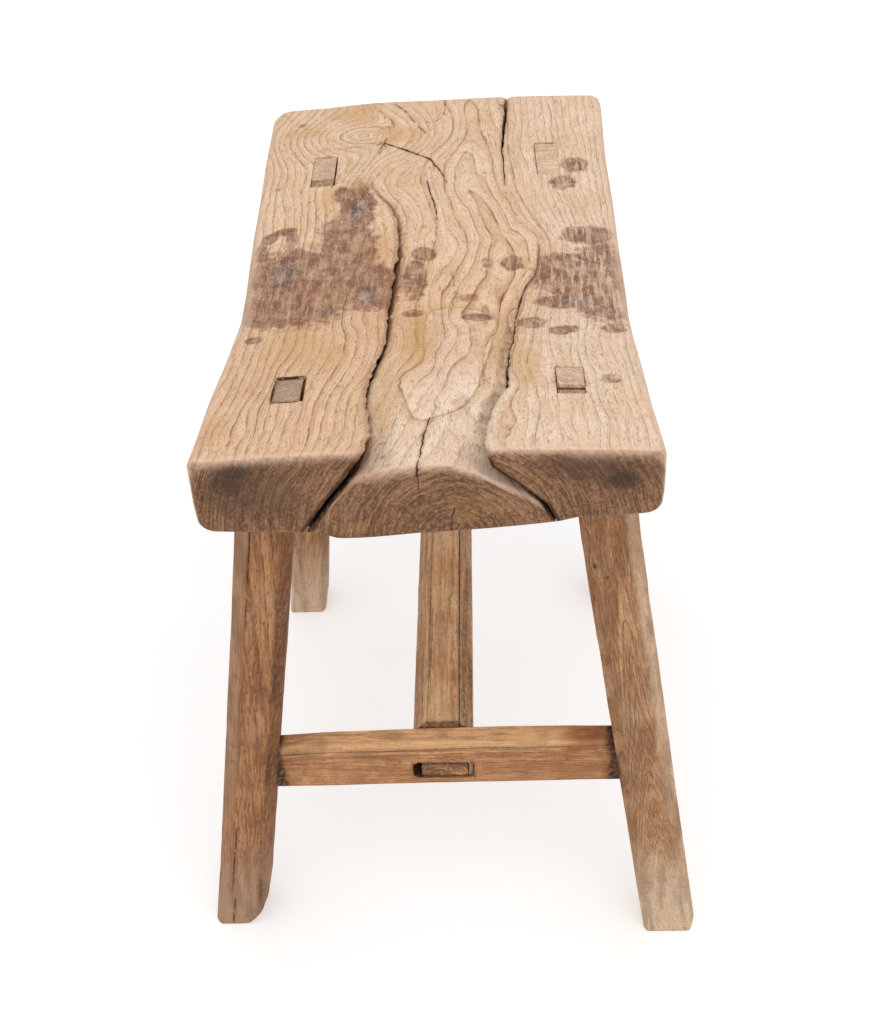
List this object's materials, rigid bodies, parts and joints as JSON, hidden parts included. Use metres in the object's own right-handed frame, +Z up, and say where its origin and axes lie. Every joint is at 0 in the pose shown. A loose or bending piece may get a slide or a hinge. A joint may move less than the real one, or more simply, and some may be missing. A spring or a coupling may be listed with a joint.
{
  "type": "saddle stool",
  "caption": "Rustic wooden stool: a thick saddle-shaped plank seat with long cracks on splayed legs, joined by end stretchers and a long centre stretcher.",
  "frame": {"origin": "on the floor, under the middle of the whole stool's outer box", "axes": "+X across the seat to the sitter's right as the picture is seen, +Y along the seat from the near end to the far end, +Z up"},
  "size_m": [0.3774, 0.467, 0.5081],
  "materials": {
    "seat": "worn bare wood, pale tan, with darker stains and grey weathered end grain",
    "legs": "worn oiled wood, mid brown",
    "rails": "worn oiled wood, warm brown",
    "strips": "bare wood, pale",
    "dark_strips": "bare wood, darkened"
  },
  "bodies": {
    "root": {"seat": "seat", "leg_front_left": "legs", "leg_front_right": "legs", "leg_back_left": "legs", "leg_back_right": "legs", "stretcher_front": "rails", "stretcher_back": "rails", "stretcher_centre": "rails", "shim_front_left": "strips", "wedge_front_right": "dark_strips", "shim_front_right": "strips", "wedge_back_left": "strips", "shim_back_left": "strips", "wedge_centre_rail": "strips"}
  },
  "joints": []
}
